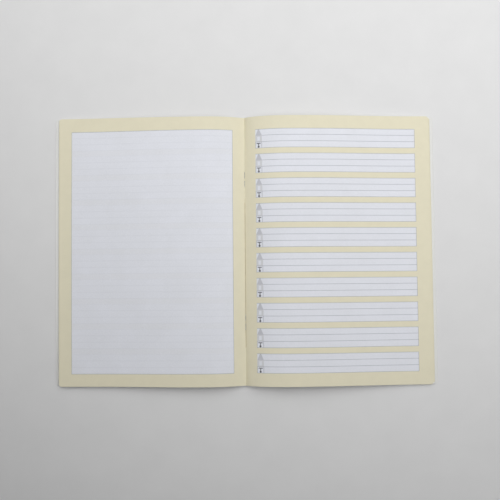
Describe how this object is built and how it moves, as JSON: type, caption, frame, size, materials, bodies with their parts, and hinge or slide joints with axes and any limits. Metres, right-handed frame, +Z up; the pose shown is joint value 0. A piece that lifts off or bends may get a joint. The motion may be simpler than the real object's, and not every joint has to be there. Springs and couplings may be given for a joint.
{
  "type": "open stapled writing exercise notebook",
  "caption": "Thin stapled notebook lying open at its middle sheet: a framed blank page on the left, ruled writing rows on the right, and a card cover that folds shut.",
  "frame": {"origin": "middle of the spine, on the surface that the open notebook lies on", "axes": "+X across the spread towards the ruled right page, +Y up the page, +Z up from the table"},
  "size_m": [0.2984, 0.21, 0.0106],
  "materials": {
    "cover_card": "matte",
    "leaf_paper": "matte",
    "tinted_print": "matte",
    "line_print": "matte",
    "roof_print": "matte",
    "wall_print": "matte",
    "table_print": "matte",
    "staple_wire": "satin"
  },
  "bodies": {
    "back_half": {"back_cover": "cover_card", "right_leaves": "leaf_paper", "upper_staple": "staple_wire", "lower_staple": "staple_wire", "right_margin_print": "tinted_print", "row_lines": "line_print", "roof_marks": "roof_print", "wall_marks": "wall_print", "table_marks": "table_print"},
    "front_half": {"front_cover": "cover_card", "left_leaves": "leaf_paper", "left_margin_print": "tinted_print", "left_panel_outline": "line_print"}
  },
  "joints": [
    {"name": "spine_fold", "type": "hinge", "parent": "back_half", "child": "front_half", "pos_m": [0, 0, 0.00197], "axis": [0, 1, 0], "range_deg": [0, 180], "deforming": ["left_leaves", "left_margin_print", "left_panel_outline", "right_leaves", "right_margin_print", "row_lines", "roof_marks", "wall_marks", "table_marks"]}
  ]
}
